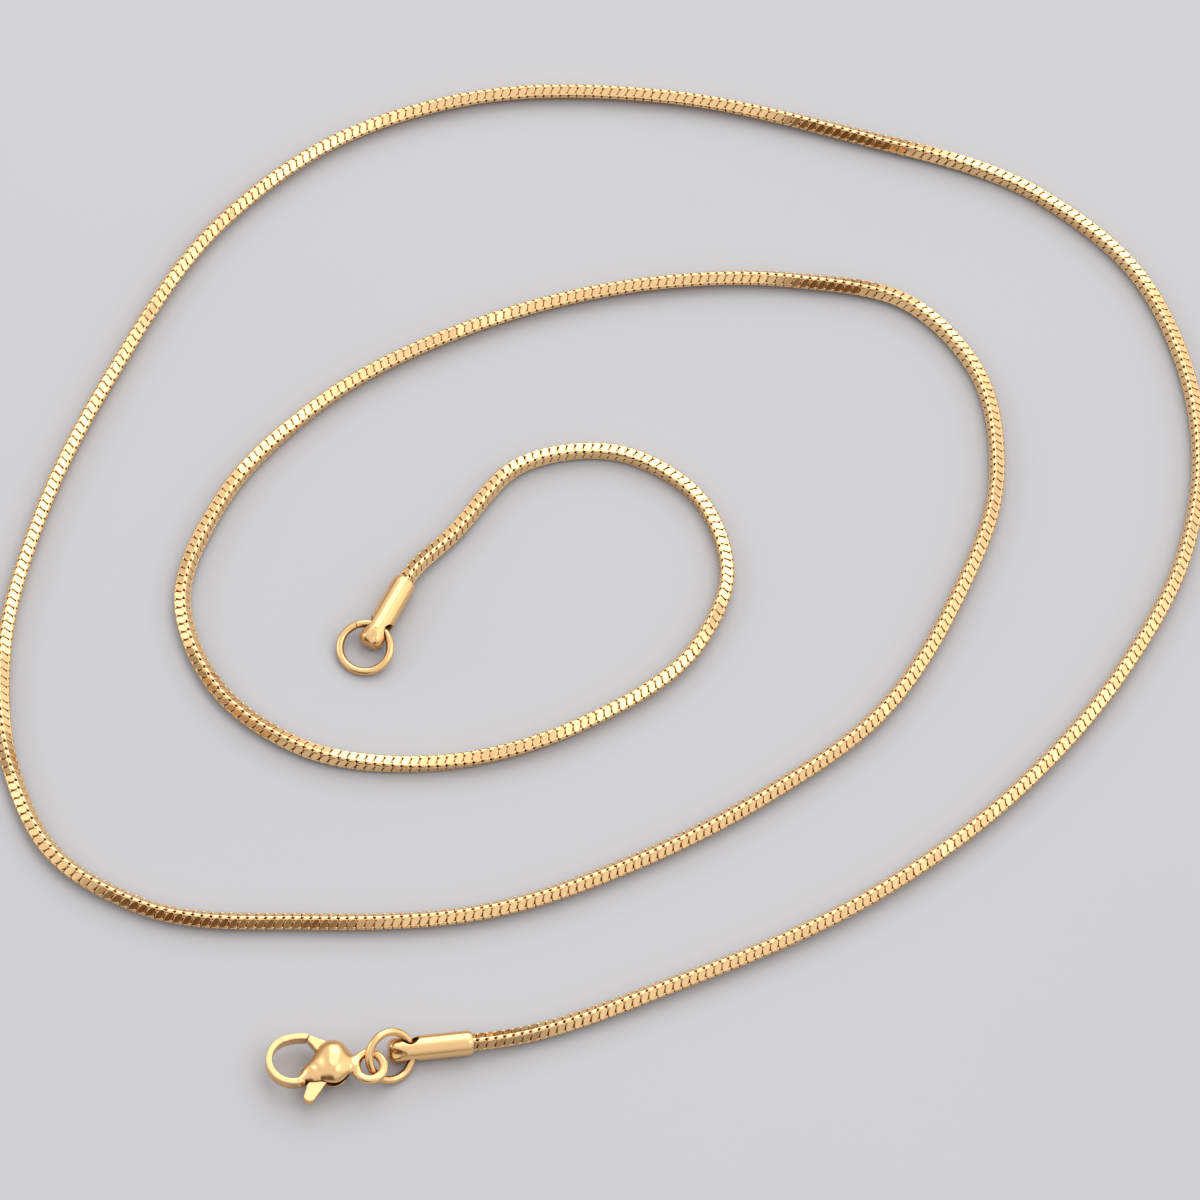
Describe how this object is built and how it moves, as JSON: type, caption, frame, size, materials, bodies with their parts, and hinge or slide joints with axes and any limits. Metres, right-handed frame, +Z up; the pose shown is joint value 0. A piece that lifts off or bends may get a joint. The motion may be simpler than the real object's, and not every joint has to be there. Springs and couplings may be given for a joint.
{
  "type": "snake chain necklace",
  "caption": "Square snake chain necklace with tube end caps, jump rings and a lobster clasp with a sprung lever, laid open in a loose spiral.",
  "frame": {"origin": "middle of the footprint's box, on the surface that the necklace lies on", "axes": "+Z up from the surface; +X along the longer side of the spiral, towards the turn away from the clasp; the clasp lies on the -Y side"},
  "size_m": [0.1087, 0.1014, 0.0033],
  "materials": {
    "chain": "polished",
    "clasp_cap": "polished",
    "ring_cap": "polished",
    "clasp_ring": "polished",
    "end_ring": "polished",
    "clasp_body": "polished",
    "clasp_lever": "polished"
  },
  "bodies": {
    "necklace": {"chain": "chain", "clasp_cap": "clasp_cap", "ring_cap": "ring_cap", "clasp_ring": "clasp_ring", "end_ring": "end_ring", "clasp_body": "clasp_body"},
    "lever": {"clasp_lever": "clasp_lever"}
  },
  "joints": [
    {"name": "clasp_lever_hinge", "type": "hinge", "parent": "necklace", "child": "lever", "pos_m": [-0.02587, -0.04631, 0.00146], "axis": [0, 0, 1], "range_deg": [0, 25], "stiffness_Nm_per_rad": 0.001, "springref_deg": -11.46}
  ]
}
